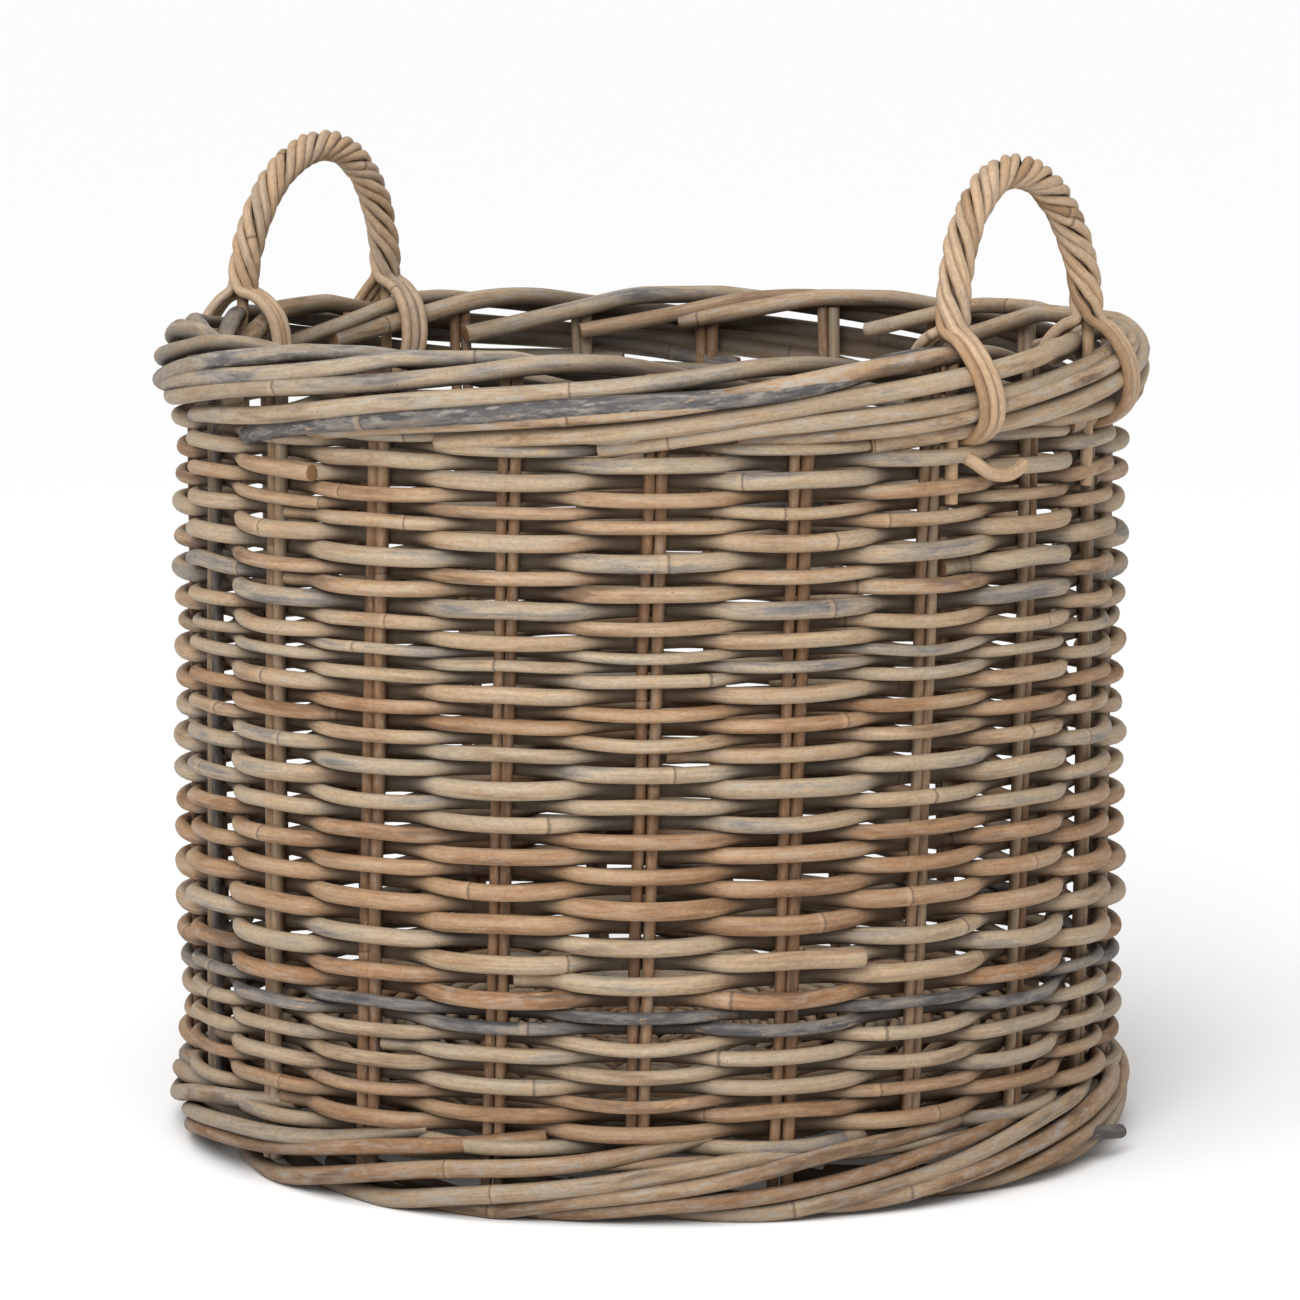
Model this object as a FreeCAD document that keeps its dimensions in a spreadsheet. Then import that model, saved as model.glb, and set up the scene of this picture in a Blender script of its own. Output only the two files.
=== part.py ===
import FreeCAD, Part
import math
import os
import re

import Sketcher

# A round woven laundry basket of cane, in millimetres. The origin is the centre of the underside, +Z is
# up, and the two fixed handles stand on +X and -X. Paired upright stakes run from the foot border to the
# rim border through the wall weave. The base rests on top of the foot border inside the wall, and its
# sticks fan out from a woven centre.

STAKE_PAIRS = 21
WEAVE_BANDS = 6
STICKS_PER_BUNDLE = 5
TIES_PER_LEG = 3

# The base spoke that neither bundle of crossed sticks reaches.
EXTRA_SPOKE = 4 * STICKS_PER_BUNDLE - 2

# Limits for telling a straight corner in radians, a matching circle in millimetres, and a volume that is
# as expected, as a share of it.
STRAIGHT = 1e-4
SAME_CIRCLE = 0.01
ROD_VOLUME = 0.01
SLOT_VOLUME = 0.05

DRIVING_SIZES = {
    "wall_outer_radius": 283,
    "wall_inner_radius": 260,
    "rim_outer_radius": 298,
    "rim_inner_radius": 254,
    "rim_top": 485,
    "rim_band": 50,
    "rim_round": 16,
    "rim_lower_round": 6,
    "foot_outer_radius": 289,
    "foot_inner_radius": 250,
    "foot_height": 40,
    "foot_round": 7,
    "gap": 0.3,
    "stake_diameter": 6.3,
    "stake_spacing": 8.2,
    "stake_socket": 28,
    "base_thickness": 21,
    "base_centre_radius": 62,
    "cross_radius": 27,
    "centre_lap": 1,
    "extra_stick_start": 33.75,
    "stick_end_margin": 6,
    "base_round": 3,
    "stick_diameter": 6.4,
    "stick_pitch": 7.2,
    "stick_bend": 16,
    "rope_diameter": 19,
    "core_diameter": 8,
    "handle_span": 132,
    "handle_rise": 104,
    "core_depth": 88,
    "tie_diameter": 5.8,
    "tie_pitch": 6.2,
    "outer_tie_wrap": 18,
    "outer_tie_hook": 9,
    "inner_tie_wrap": 10,
    "inner_tie_hook": 7,
}

# Sizes that follow from the driving ones, as formulas for the sheet.
DERIVED_SIZES = {
    "stake_circle": "(wall_outer_radius + wall_inner_radius) / 2",
    "rim_bottom": "rim_top - rim_band",
    "band_pitch": "(rim_bottom - foot_height) / %d" % WEAVE_BANDS,
    "slot_width": "stake_diameter + 2 * gap",
    "stake_bottom": "foot_height - stake_socket",
    "stake_top": "rim_bottom + stake_socket",
    "base_bottom": "foot_height + gap",
    "base_outer_radius": "wall_inner_radius - gap",
    "stick_end_radius": "base_outer_radius - stick_end_margin",
    "handle_plane": "sqrt(stake_circle * stake_circle - handle_span * handle_span / 4)",
    "handle_crown": "rim_top + handle_rise - rope_diameter / 2",
    "core_bottom": "rim_top - core_depth",
}

doc = FreeCAD.newDocument("laundry_basket")


def make_sheet():
    """The sheet of sizes: driving ones as plain numbers, derived ones as formulas of their aliases."""
    table = doc.addObject("Spreadsheet::Sheet", "Sizes")
    row = 1
    for alias, number in DRIVING_SIZES.items():
        table.set("A%d" % row, alias.replace("_", " "))
        table.set("B%d" % row, str(number))
        table.setAlias("B%d" % row, alias)
        row += 1
    for alias, formula in DERIVED_SIZES.items():
        table.set("A%d" % row, alias.replace("_", " "))
        table.set("B%d" % row, "=" + formula)
        table.setAlias("B%d" % row, alias)
        row += 1
    doc.recompute()
    return table


sheet = make_sheet()
probe = doc.addObject("Spreadsheet::Sheet", "Probe")
parts = []


def size(alias):
    """A size's number, for shapes that Part's own functions make."""
    return float(getattr(sheet, alias))


def cells(formula):
    """The formula with each alias written as a cell of the sheet."""
    known = set(DRIVING_SIZES) | set(DERIVED_SIZES)
    return re.sub(r"[a-z_]+", lambda word: "Sizes." + word[0] if word[0] in known else word[0], formula)


def turned(angle):
    """A placement turned about Z by an angle in degrees."""
    return FreeCAD.Placement(FreeCAD.Vector(0, 0, 0), FreeCAD.Rotation(FreeCAD.Vector(0, 0, 1), angle))


def make_body(label):
    """A body that may hold several separate solids."""
    body = doc.addObject("PartDesign::Body", label)
    body.Label = label
    body.AllowCompound = True
    return body


def make_sketch(body, name, plane, offset=None):
    """A sketch on one of the body's own origin planes, moved along its normal by a formula."""
    sketch = body.newObject("Sketcher::SketchObject", body.Name + "_" + name)
    planes = [f for f in body.Origin.OriginFeatures if f.Role == plane]
    sketch.AttachmentSupport = [(planes[0], "")]
    sketch.MapMode = "FlatFace"
    if offset:
        sketch.setExpression("AttachmentOffset.Base.z", cells(offset))
    return sketch


def bind(sketch, kind, places, name, formula):
    """A dimension whose value follows the sheet. Its first value is the formula's present one."""
    index = sketch.addConstraint(Sketcher.Constraint(kind, *places, now(formula)))
    sketch.renameConstraint(index, name)
    sketch.setExpression("Constraints." + name, cells(formula))


def now(formula):
    """A formula's present value, worked out in a spare cell of a second sheet that nothing depends on."""
    probe.set("A1", "=" + cells(formula))
    probe.recompute()
    return float(probe.get("A1"))


def finish_body(body, tip):
    """Ends a body at its last feature and keeps it as a sub-part."""
    body.Tip = tip
    doc.recompute()
    parts.append(body)


def ring(body, inner, outer, bottom, top):
    """A ring with a rectangular section, turned about Z."""
    sketch = make_sketch(body, "section", "XZ_Plane")
    x0, x1, z0, z1 = now(inner), now(outer), now(bottom), now(top)
    corners = [(x0, z0), (x1, z0), (x1, z1), (x0, z1)]
    for index in range(4):
        start = FreeCAD.Vector(*corners[index], 0)
        end = FreeCAD.Vector(*corners[(index + 1) % 4], 0)
        sketch.addGeometry(Part.LineSegment(start, end), False)
    for index in range(4):
        sketch.addConstraint(Sketcher.Constraint("Coincident", index, 2, (index + 1) % 4, 1))
        level = "Horizontal" if index % 2 == 0 else "Vertical"
        sketch.addConstraint(Sketcher.Constraint(level, index))
    bind(sketch, "DistanceX", (-1, 1, 0, 1), "inner", inner)
    bind(sketch, "DistanceX", (-1, 1, 1, 1), "outer", outer)
    bind(sketch, "DistanceY", (-1, 1, 0, 1), "bottom", bottom)
    bind(sketch, "DistanceY", (-1, 1, 2, 1), "top", top)
    turn = body.newObject("PartDesign::Revolution", body.Name + "_turn")
    turn.Profile = sketch
    turn.ReferenceAxis = (sketch, ["V_Axis"])
    turn.Angle = 360
    body.Tip = turn
    doc.recompute()
    return turn


def circle_edges(shape, radius, height):
    """Names of the full circles of one radius at one height."""
    names = []
    for index, edge in enumerate(shape.Edges):
        if not isinstance(edge.Curve, Part.Circle) or not edge.isClosed():
            continue
        off_radius = abs(edge.Curve.Radius - radius)
        off_height = abs(edge.Curve.Center.z - height)
        if max(off_radius, off_height) < SAME_CIRCLE:
            names.append("Edge%d" % (index + 1))
    return names


def round_edges(body, base, places, radius, name):
    """Rounds the circles at (radius, height) pairs of formulas."""
    names = []
    for circle_radius, height in places:
        names += circle_edges(base.Shape, now(circle_radius), now(height))
    fillet = body.newObject("PartDesign::Fillet", body.Name + "_" + name)
    fillet.Base = (base, names)
    fillet.setExpression("Radius", cells(radius))
    body.Tip = fillet
    doc.recompute()
    return fillet


def stake_slots(body, start, depth=None, upward=True):
    """Obround slots for the stake pairs, cut from a level: through all, or to a depth."""
    sketch = make_sketch(body, "slot", "XY_Plane", start)
    x, half, r = now("stake_circle"), now("stake_spacing / 2"), now("slot_width / 2")
    vector = FreeCAD.Vector
    up = vector(0, 0, 1)
    upper = Part.Circle(vector(x, half, 0), up, r)
    lower = Part.Circle(vector(x, -half, 0), up, r)
    sketch.addGeometry(Part.ArcOfCircle(upper, 0, math.pi), False)
    sketch.addGeometry(Part.ArcOfCircle(lower, math.pi, 2 * math.pi), False)
    sketch.addGeometry(Part.LineSegment(vector(x - r, half, 0), vector(x - r, -half, 0)), False)
    sketch.addGeometry(Part.LineSegment(vector(x + r, -half, 0), vector(x + r, half, 0)), False)
    for first, first_end, second, second_end in ((0, 2, 2, 1), (2, 2, 1, 1), (1, 2, 3, 1), (3, 2, 0, 1)):
        sketch.addConstraint(Sketcher.Constraint("Tangent", first, first_end, second, second_end))
    bind(sketch, "Radius", (0,), "half_width", "slot_width / 2")
    bind(sketch, "DistanceX", (-1, 1, 0, 3), "circle", "stake_circle")
    bind(sketch, "DistanceY", (-1, 1, 0, 3), "half_spacing", "stake_spacing / 2")
    bind(sketch, "DistanceY", (1, 3, 0, 3), "spacing", "stake_spacing")
    pocket = body.newObject("PartDesign::Pocket", body.Name + "_slot_cut")
    pocket.Profile = sketch
    pocket.Reversed = upward
    if depth:
        pocket.setExpression("Length", cells(depth))
    else:
        pocket.Type = 1
    return pocket


def repeat_round(body, feature, count, name):
    """Repeats a feature evenly about the body's Z axis."""
    pattern = body.newObject("PartDesign::PolarPattern", body.Name + "_" + name)
    pattern.Originals = [feature]
    axis = [f for f in body.Origin.OriginFeatures if f.Role == "Z_Axis"][0]
    pattern.Axis = (axis, [""])
    pattern.Angle = 360
    pattern.Occurrences = count
    body.Tip = pattern
    doc.recompute()
    return pattern


def circle_sketch(body, name, plane, offset, centres, radius):
    """Equal circles at (x, y) pairs of formulas on an origin plane."""
    sketch = make_sketch(body, name, plane, offset)
    for index, (x, y) in enumerate(centres):
        centre = FreeCAD.Vector(now(x), now(y), 0)
        sketch.addGeometry(Part.Circle(centre, FreeCAD.Vector(0, 0, 1), now(radius)), False)
        bind(sketch, "DistanceX", (-1, 1, index, 3), "across_%d" % index, x)
        bind(sketch, "DistanceY", (-1, 1, index, 3), "along_%d" % index, y)
        bind(sketch, "Radius", (index,), "radius_%d" % index, radius)
    return sketch


def core_holes(body, start, depth):
    """Four round holes for the legs of the two handle cores."""
    across = ("handle_plane", "-handle_plane")
    along = ("handle_span / 2", "-handle_span / 2")
    legs = [(x, y) for x in across for y in along]
    sketch = circle_sketch(body, "core_hole", "XY_Plane", start, legs, "core_diameter / 2 + gap")
    pocket = body.newObject("PartDesign::Pocket", body.Name + "_core_cut")
    pocket.Profile = sketch
    if depth:
        pocket.setExpression("Length", cells(depth))
    else:
        pocket.Type = 1
    body.Tip = pocket
    doc.recompute()
    return pocket


def foot_border():
    """The plaited foot: a ring with a flat underside, with blind slots for the stakes' lower ends."""
    body = make_body("foot_border")
    base = ring(body, "foot_inner_radius", "foot_outer_radius", "0", "foot_height")
    edges = [(r, z) for r in ("foot_inner_radius", "foot_outer_radius") for z in ("0", "foot_height")]
    rounded = round_edges(body, base, edges, "foot_round", "edges")
    before = rounded.Shape.Volume
    pocket = stake_slots(body, "foot_height", "stake_socket + gap", upward=False)
    cut = repeat_round(body, pocket, STAKE_PAIRS, "slots")
    check_cut(before, cut, "stake_socket", "foot border slots")
    finish_body(body, cut)


def rim_border():
    """The rolled rim: rounded over the top, with blind slots for the stakes' upper ends."""
    body = make_body("rim_border")
    base = ring(body, "rim_inner_radius", "rim_outer_radius", "rim_bottom", "rim_top")
    top_edges = [("rim_inner_radius", "rim_top"), ("rim_outer_radius", "rim_top")]
    domed = round_edges(body, base, top_edges, "rim_round", "dome")
    low_edges = [("rim_inner_radius", "rim_bottom"), ("rim_outer_radius", "rim_bottom")]
    rounded = round_edges(body, domed, low_edges, "rim_lower_round", "lower_edges")
    before = rounded.Shape.Volume
    pocket = stake_slots(body, "rim_bottom", "stake_socket + gap", upward=True)
    cut = repeat_round(body, pocket, STAKE_PAIRS, "slots")
    check_cut(before, cut, "stake_socket", "rim border slots")
    finish_body(body, core_holes(body, "rim_top", None))


def weave_band(index):
    """One of the stacked rings of wall weave. Only the top one takes the legs of the handle cores."""
    body = make_body("weave_band_%d" % (index + 1))
    bottom = "foot_height + gap + %d * band_pitch" % index
    top = "foot_height + %d * band_pitch" % (index + 1)
    if index == WEAVE_BANDS - 1:
        top += " - gap"
    base = ring(body, "wall_inner_radius", "wall_outer_radius", bottom, top)
    before = base.Shape.Volume
    pocket = stake_slots(body, bottom, upward=True)
    cut = repeat_round(body, pocket, STAKE_PAIRS, "slots")
    check_cut(before, cut, "band_pitch", "slots of weave band %d" % (index + 1))
    if index == WEAVE_BANDS - 1:
        cut = core_holes(body, "rim_bottom", "core_depth - rim_band + gap")
    finish_body(body, cut)


def check_cut(before, feature, depth, name):
    """Stops if a ring of slots didn't take about its own volume away."""
    slot_area = now("slot_width * stake_spacing") + math.pi * now("slot_width / 2") ** 2
    expected = STAKE_PAIRS * slot_area * now(depth)
    removed = before - feature.Shape.Volume
    if abs(removed - expected) > SLOT_VOLUME * expected:
        raise RuntimeError("%s took %.0f mm3 away, not %.0f" % (name, removed, expected))


def stake_pair(index):
    """Two upright canes side by side. The first pair stands in the middle of the +X handle."""
    body = make_body("stake_pair_%02d" % (index + 1))
    centres = [("stake_circle", "stake_spacing / 2"), ("stake_circle", "-stake_spacing / 2")]
    sketch = circle_sketch(body, "canes", "XY_Plane", "stake_bottom", centres, "stake_diameter / 2")
    pad = body.newObject("PartDesign::Pad", body.Name + "_pad")
    pad.Profile = sketch
    pad.setExpression("Length", cells("stake_top - stake_bottom"))
    body.Placement = turned(360 * index / STAKE_PAIRS)
    finish_body(body, pad)


def rounded_route(points, bend_radii):
    """Straight runs joined by tangent arcs, through a list of points, with one bend radius for each
    corner. A corner that doesn't turn is passed over."""
    edges = []
    start = points[0]
    for before, corner, after, bend_radius in zip(points, points[1:], points[2:], bend_radii):
        back = (before - corner).normalize()
        ahead = (after - corner).normalize()
        half_turn = (math.pi - back.getAngle(ahead)) / 2
        if half_turn < STRAIGHT:
            continue
        reach = bend_radius * math.tan(half_turn)
        entry = corner + back * reach
        leave = corner + ahead * reach
        inward = (back + ahead).normalize()
        middle = corner + inward * (bend_radius / math.cos(half_turn) - bend_radius)
        edges.append(Part.LineSegment(start, entry).toShape())
        edges.append(Part.Arc(entry, middle, leave).toShape())
        start = leave
    edges.append(Part.LineSegment(start, points[-1]).toShape())
    return Part.Wire(edges)


def rod(route, radius):
    """A round rod along a route."""
    start = route.Edges[0]
    heading = start.tangentAt(start.FirstParameter)
    section = Part.Wire(Part.makeCircle(radius, start.valueAt(start.FirstParameter), heading))
    shape = route.makePipeShell([section], True, True)
    expected = math.pi * radius ** 2 * route.Length
    if abs(shape.Volume - expected) > ROD_VOLUME * expected:
        raise RuntimeError("a rod's volume doesn't match its route")
    return shape


def stick_routes(side):
    """The sticks of one bundle: parallel across the centre, then fanned out to their spokes. Side 0 lies
    along X, side 1 along Y and above it."""
    per_quarter = STICKS_PER_BUNDLE
    level = stick_level(side)
    along = FreeCAD.Vector(1, 0, 0) if side == 0 else FreeCAD.Vector(0, 1, 0)
    across = FreeCAD.Vector(0, 1, 0) if side == 0 else FreeCAD.Vector(-1, 0, 0)
    middle_spoke = side * per_quarter
    far_spoke = middle_spoke + 2 * per_quarter
    routes = []
    for place in range(per_quarter):
        step = place - per_quarter // 2
        offset = across * (step * size("stick_pitch"))
        near = along * size("cross_radius") + offset
        far = along * -size("cross_radius") + offset
        near_end = spoke_end(middle_spoke + step)
        far_end = spoke_end(far_spoke - step)
        points = [far_end, far, near, near_end]
        lifted = [point + FreeCAD.Vector(0, 0, level) for point in points]
        routes.append(rounded_route(lifted, [size("stick_bend")] * 2))
    return routes


def stick_level(side):
    """The height of a bundle's centre lines: side 0 just below the base's middle, side 1 just above."""
    middle = size("base_bottom") + size("base_thickness") / 2
    return middle + (side - 0.5) * (size("stick_diameter") + size("gap"))


def spoke_end(index):
    """The outer end of a base spoke, in the plane of the base. The spokes share the stakes' spacing."""
    angle = 2 * math.pi * index / STAKE_PAIRS
    return FreeCAD.Vector(math.cos(angle), math.sin(angle), 0) * size("stick_end_radius")


def extra_route():
    """The half stick that makes the number of spokes odd, beside the crossing and at the lower level."""
    end = spoke_end(EXTRA_SPOKE)
    start = end * (size("extra_stick_start") / size("stick_end_radius"))
    lift = FreeCAD.Vector(0, 0, stick_level(0))
    return Part.Wire([Part.LineSegment(start + lift, end + lift).toShape()])


def base_parts():
    """The crossed base sticks, and the two woven discs that they run through."""
    routes = {
        "base_sticks_lower": stick_routes(0),
        "base_sticks_upper": stick_routes(1),
        "base_stick_extra": [extra_route()],
    }
    radius = size("stick_diameter") / 2
    for label, group in routes.items():
        feature = doc.addObject("Part::Feature", label)
        feature.Label = label
        feature.Shape = Part.makeCompound([rod(route, radius) for route in group])
        feature.Placement = FreeCAD.Placement()
        parts.append(feature)
    channels = doc.addObject("Part::Feature", "stick_channels")
    every_route = [route for group in routes.values() for route in group]
    channels.Shape = Part.makeCompound([rod(route, radius + size("gap")) for route in every_route])
    woven_disc("base_centre_weave", "cross_radius - centre_lap", "base_centre_radius", channels)
    woven_disc("base_weave", "base_centre_radius + gap", "base_outer_radius", channels)


def woven_disc(label, inner, outer, channels):
    """A flat ring of base weave with a channel for each stick that runs through it."""
    body = make_body(label + "_disc")
    disc = ring(body, inner, outer, "base_bottom", "base_bottom + base_thickness")
    edges = [(outer, "base_bottom"), (outer, "base_bottom + base_thickness")]
    body.Tip = round_edges(body, disc, edges, "base_round", "edges")
    doc.recompute()
    cut = doc.addObject("Part::Cut", label)
    cut.Label = label
    cut.Base = body
    cut.Tool = channels
    doc.recompute()
    parts.append(cut)


def arch_spine(body, bottom):
    """The handle's line: two upright legs and a half circle, in a plane across the basket."""
    sketch = make_sketch(body, "arch", "YZ_Plane", "handle_plane")
    half, low = now("handle_span / 2"), now(bottom)
    spring = now("handle_crown - handle_span / 2")
    vector = FreeCAD.Vector
    sketch.addGeometry(Part.LineSegment(vector(half, low, 0), vector(half, spring, 0)), False)
    arc = Part.ArcOfCircle(Part.Circle(vector(0, spring, 0), vector(0, 0, 1), half), 0, math.pi)
    sketch.addGeometry(arc, False)
    sketch.addGeometry(Part.LineSegment(vector(-half, spring, 0), vector(-half, low, 0)), False)
    sketch.addConstraint(Sketcher.Constraint("Tangent", 0, 2, 1, 1))
    sketch.addConstraint(Sketcher.Constraint("Tangent", 1, 2, 2, 1))
    sketch.addConstraint(Sketcher.Constraint("Vertical", 0))
    sketch.addConstraint(Sketcher.Constraint("PointOnObject", 1, 3, -2))
    sketch.addConstraint(Sketcher.Constraint("Horizontal", 0, 1, 2, 2))
    bind(sketch, "Radius", (1,), "half_span", "handle_span / 2")
    bind(sketch, "DistanceY", (-1, 1, 1, 3), "spring", "handle_crown - handle_span / 2")
    bind(sketch, "DistanceY", (-1, 1, 0, 1), "low", bottom)
    return sketch


def arch(label, bottom, radii, turn):
    """A round bar, or a tube where two radii are given, bent along the handle's line."""
    body = make_body(label)
    spine = arch_spine(body, bottom)
    section = make_sketch(body, "section", "XY_Plane", bottom)
    for index, radius in enumerate(radii):
        centre = FreeCAD.Vector(now("handle_plane"), now("handle_span / 2"), 0)
        section.addGeometry(Part.Circle(centre, FreeCAD.Vector(0, 0, 1), now(radius)), False)
        bind(section, "DistanceX", (-1, 1, index, 3), "plane_%d" % index, "handle_plane")
        bind(section, "DistanceY", (-1, 1, index, 3), "leg_%d" % index, "handle_span / 2")
        bind(section, "Radius", (index,), "radius_%d" % index, radius)
    pipe = body.newObject("PartDesign::AdditivePipe", body.Name + "_pipe")
    pipe.Profile = section
    pipe.Spine = (spine, ["Edge1", "Edge2", "Edge3"])
    body.Placement = turned(turn)
    finish_body(body, pipe)


def tie_route(outward):
    """A strand's line in the XZ plane: from beside the rope, over the rim and in under its lower edge."""
    sign = 1 if outward else -1
    edge, wall, wrap_bend, hook_bend = (
        ("rim_outer_radius", "wall_outer_radius", "outer_tie_wrap", "outer_tie_hook")
        if outward
        else ("rim_inner_radius", "wall_inner_radius", "inner_tie_wrap", "inner_tie_hook")
    )
    clear = size("gap") + size("tie_diameter") / 2
    upright = size(edge) + sign * clear
    over = size("rim_top") + clear
    under = size("rim_bottom") - clear
    rope_side = size("stake_circle") + sign * (size("rope_diameter") / 2 + 2 * size("gap"))
    wall_side = size(wall) + sign * 2 * size("gap")
    corners = [(rope_side, over), (upright, over), (upright, under), (wall_side, under)]
    points = [FreeCAD.Vector(x, 0, z) for x, z in corners]
    return rounded_route(points, [size(wrap_bend), size(hook_bend)])


def tie_strands(label, outward, turn):
    """Strands side by side that tie one leg of a handle over the rim's outer or inner side."""
    strand = rod(tie_route(outward), size("tie_diameter") / 2)
    strands = []
    for index in range(TIES_PER_LEG):
        step = index - (TIES_PER_LEG - 1) / 2
        strands.append(strand.translated(FreeCAD.Vector(0, step * size("tie_pitch"), 0)))
    feature = doc.addObject("Part::Feature", label)
    feature.Label = label
    feature.Shape = Part.makeCompound(strands)
    feature.Placement = turned(turn)
    parts.append(feature)


def handle(name, turn):
    """One fixed handle: a stiff core, the rope round it, and the strands that tie its legs to the rim."""
    arch(name + "_core", "core_bottom", ["core_diameter / 2"], turn)
    arch(name + "_rope", "rim_top + gap", ["rope_diameter / 2", "core_diameter / 2 + gap"], turn)
    leg_angle = math.degrees(math.asin(size("handle_span") / 2 / size("stake_circle")))
    for side, lean in (("right", leg_angle), ("left", -leg_angle)):
        tie_strands("%s_outer_ties_%s" % (name, side), True, turn + lean)
        tie_strands("%s_inner_ties_%s" % (name, side), False, turn + lean)


def check_and_write():
    """Stops on any failed object or shape, then writes each sub-part to its own file."""
    doc.recompute()
    failed = [o.Name for o in doc.Objects if "Invalid" in o.State or "Error" in o.State]
    failed += [p.Label for p in parts if p.Shape.isNull() or not p.Shape.isValid()]
    if failed:
        raise RuntimeError("failed objects: %s" % ", ".join(failed))
    os.makedirs("parts", exist_ok=True)
    for part in parts:
        part.Shape.exportStep(os.path.join("parts", part.Label + ".step"))
        box = part.Shape.BoundBox
        solids = len(part.Shape.Solids)
        row = (part.Label, solids, box.ZMin, box.ZMax, part.Shape.Volume)
        print("%-28s %2d solids  z %.1f to %.1f  %.0f mm3" % row)


foot_border()
for band in range(WEAVE_BANDS):
    weave_band(band)
rim_border()
for pair in range(STAKE_PAIRS):
    stake_pair(pair)
base_parts()
handle("handle_front", 0)
handle("handle_rear", 180)
check_and_write()
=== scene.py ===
import math

import bpy
import numpy as np
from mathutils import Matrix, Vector


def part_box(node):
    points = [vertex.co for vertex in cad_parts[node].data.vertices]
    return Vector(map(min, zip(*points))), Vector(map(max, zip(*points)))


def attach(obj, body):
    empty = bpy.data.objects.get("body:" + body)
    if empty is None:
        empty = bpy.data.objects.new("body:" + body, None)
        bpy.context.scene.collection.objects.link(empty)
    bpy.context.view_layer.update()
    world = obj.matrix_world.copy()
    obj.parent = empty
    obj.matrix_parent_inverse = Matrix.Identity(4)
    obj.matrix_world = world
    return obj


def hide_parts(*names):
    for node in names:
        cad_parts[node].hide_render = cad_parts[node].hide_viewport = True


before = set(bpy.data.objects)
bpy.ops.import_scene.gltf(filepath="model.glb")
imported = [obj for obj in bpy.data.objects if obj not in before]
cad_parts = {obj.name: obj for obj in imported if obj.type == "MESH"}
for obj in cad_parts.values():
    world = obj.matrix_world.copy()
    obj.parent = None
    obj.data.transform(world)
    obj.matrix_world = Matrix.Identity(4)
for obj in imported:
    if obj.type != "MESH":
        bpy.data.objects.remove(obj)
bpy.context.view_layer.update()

# A round laundry basket woven from weathered cane. Every cane is a mesh tube along its own line: rows of
# wall canes go in front of and behind paired stakes, the stakes' upper and lower ends roll into the rim and
# the foot, a spiral of thin cane fills the base, and two handles are twisted from six strands each. Lengths
# are in metres.

rng = np.random.default_rng(2117)
MM = 0.001
TURN = 2 * math.pi

# ---------------------------------------------------------------- sizes from the frame

node_names = sorted(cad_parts)
stake_nodes = [name for name in node_names if name.startswith("stake_pair_")]
band_nodes = [name for name in node_names if name.startswith("weave_band_")]
STAKES = len(stake_nodes)
SPACING = TURN / STAKES

rim_low, rim_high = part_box("rim_border")
stake_low, stake_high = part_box(stake_nodes[0])
base_low, base_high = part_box("base_weave")
stick_low, stick_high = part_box("base_stick_extra")
rope_low, rope_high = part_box("handle_front_rope")
core_low, core_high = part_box("handle_front_core")

RIM_TOP = rim_high.z
RIM_BOTTOM = rim_low.z
FOOT_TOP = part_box("foot_border")[1].z
STAKE_CIRCLE = (stake_low.x + stake_high.x) / 2
STAKE_R = (stake_high.x - stake_low.x) / 2
PAIR_HALF = stake_high.y - STAKE_R
BASE_MIDDLE = (base_low.z + base_high.z) / 2
BASE_OUT = base_high.x
STICK_R = (stick_high.z - stick_low.z) / 2
ROPE_R = (rope_high.x - rope_low.x) / 2
HANDLE_X = (rope_high.x + rope_low.x) / 2
HANDLE_HALF = rope_high.y - ROPE_R
HANDLE_CROWN = rope_high.z - ROPE_R
CORE_R = (core_high.x - core_low.x) / 2

# ---------------------------------------------------------------- canes as meshes


def eased(keys, values, at):
    """A smooth curve through values given at keys, read at other keys."""
    keys = np.asarray(keys, float)
    values = np.asarray(values, float)
    slopes = np.gradient(values, keys, axis=0)
    place = np.clip(np.searchsorted(keys, at, side="right") - 1, 0, len(keys) - 2)
    span = keys[place + 1] - keys[place]
    u = (at - keys[place]) / span
    if values.ndim == 2:
        u = u[:, None]
        span = span[:, None]
    rise = values[place + 1] - values[place]
    smooth = u * u * (3 - 2 * u)
    return (
        values[place]
        + smooth * rise
        + span * (u * (1 - u) ** 2 * slopes[place] - u * u * (1 - u) * slopes[place + 1])
    )


def distances(points):
    """How far along a line each of its points lies."""
    return np.concatenate(([0.0], np.cumsum(np.linalg.norm(np.diff(points, axis=0), axis=1))))


def smoothed(points, count):
    """A smooth line through points, as a number of evenly spaced places."""
    keys = distances(points)
    return eased(keys, points, np.linspace(0, keys[-1], count))


def unit(vectors):
    """The vectors at length 1."""
    return vectors / np.maximum(np.linalg.norm(vectors, axis=-1, keepdims=True), 1e-12)


def carried_frame(tangents):
    """A normal at each point that turns as little as possible along the line."""
    normals = np.empty_like(tangents)
    normal = np.array((0.0, 0.0, 1.0) if abs(tangents[0][2]) < 0.9 else (1.0, 0.0, 0.0))
    for i, tangent in enumerate(tangents):
        normal = normal - tangent * np.dot(normal, tangent)
        normal = normal / np.linalg.norm(normal)
        normals[i] = normal
    return normals


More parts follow.
